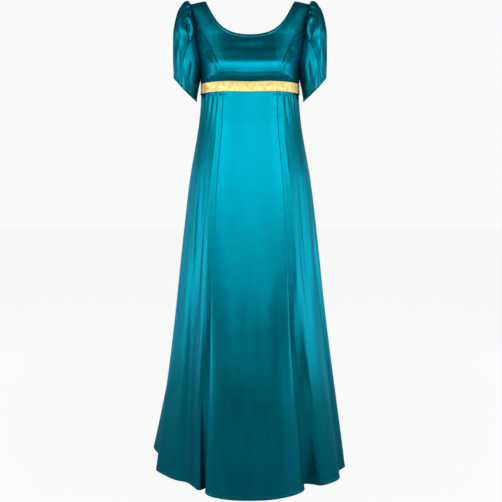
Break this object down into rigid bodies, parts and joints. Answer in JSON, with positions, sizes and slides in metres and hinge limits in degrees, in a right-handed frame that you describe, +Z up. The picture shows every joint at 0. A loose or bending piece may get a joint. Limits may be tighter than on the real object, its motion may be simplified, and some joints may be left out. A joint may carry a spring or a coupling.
{
  "type": "regency gown",
  "caption": "Long high-waisted satin gown with a scooped neck, princess seams, short petal sleeves, a gold ribbon at the waist and a flared skirt, hollow as when worn.",
  "frame": {"origin": "on the shoulder line, midway between the two shoulders, where the wearer carries the gown", "axes": "+X to the wearer's left, +Y to the back, +Z up; the hem is below the origin"},
  "size_m": [0.6316, 0.773, 1.4454],
  "materials": {
    "teal_satin": "glossy teal satin",
    "gold_ribbon": "woven metallic gold ribbon"
  },
  "bodies": {
    "root": {"bodice_front": "teal_satin", "bodice_side_front_left": "teal_satin", "bodice_side_front_right": "teal_satin", "bodice_back_left": "teal_satin", "bodice_back_right": "teal_satin", "sleeve_over_petal_left": "teal_satin", "sleeve_over_petal_right": "teal_satin", "sleeve_under_petal_left": "teal_satin", "sleeve_under_petal_right": "teal_satin", "skirt_front": "teal_satin", "skirt_side_front_left": "teal_satin", "skirt_side_front_right": "teal_satin", "skirt_back_left": "teal_satin", "skirt_back_right": "teal_satin", "waist_ribbon": "gold_ribbon"}
  },
  "joints": []
}
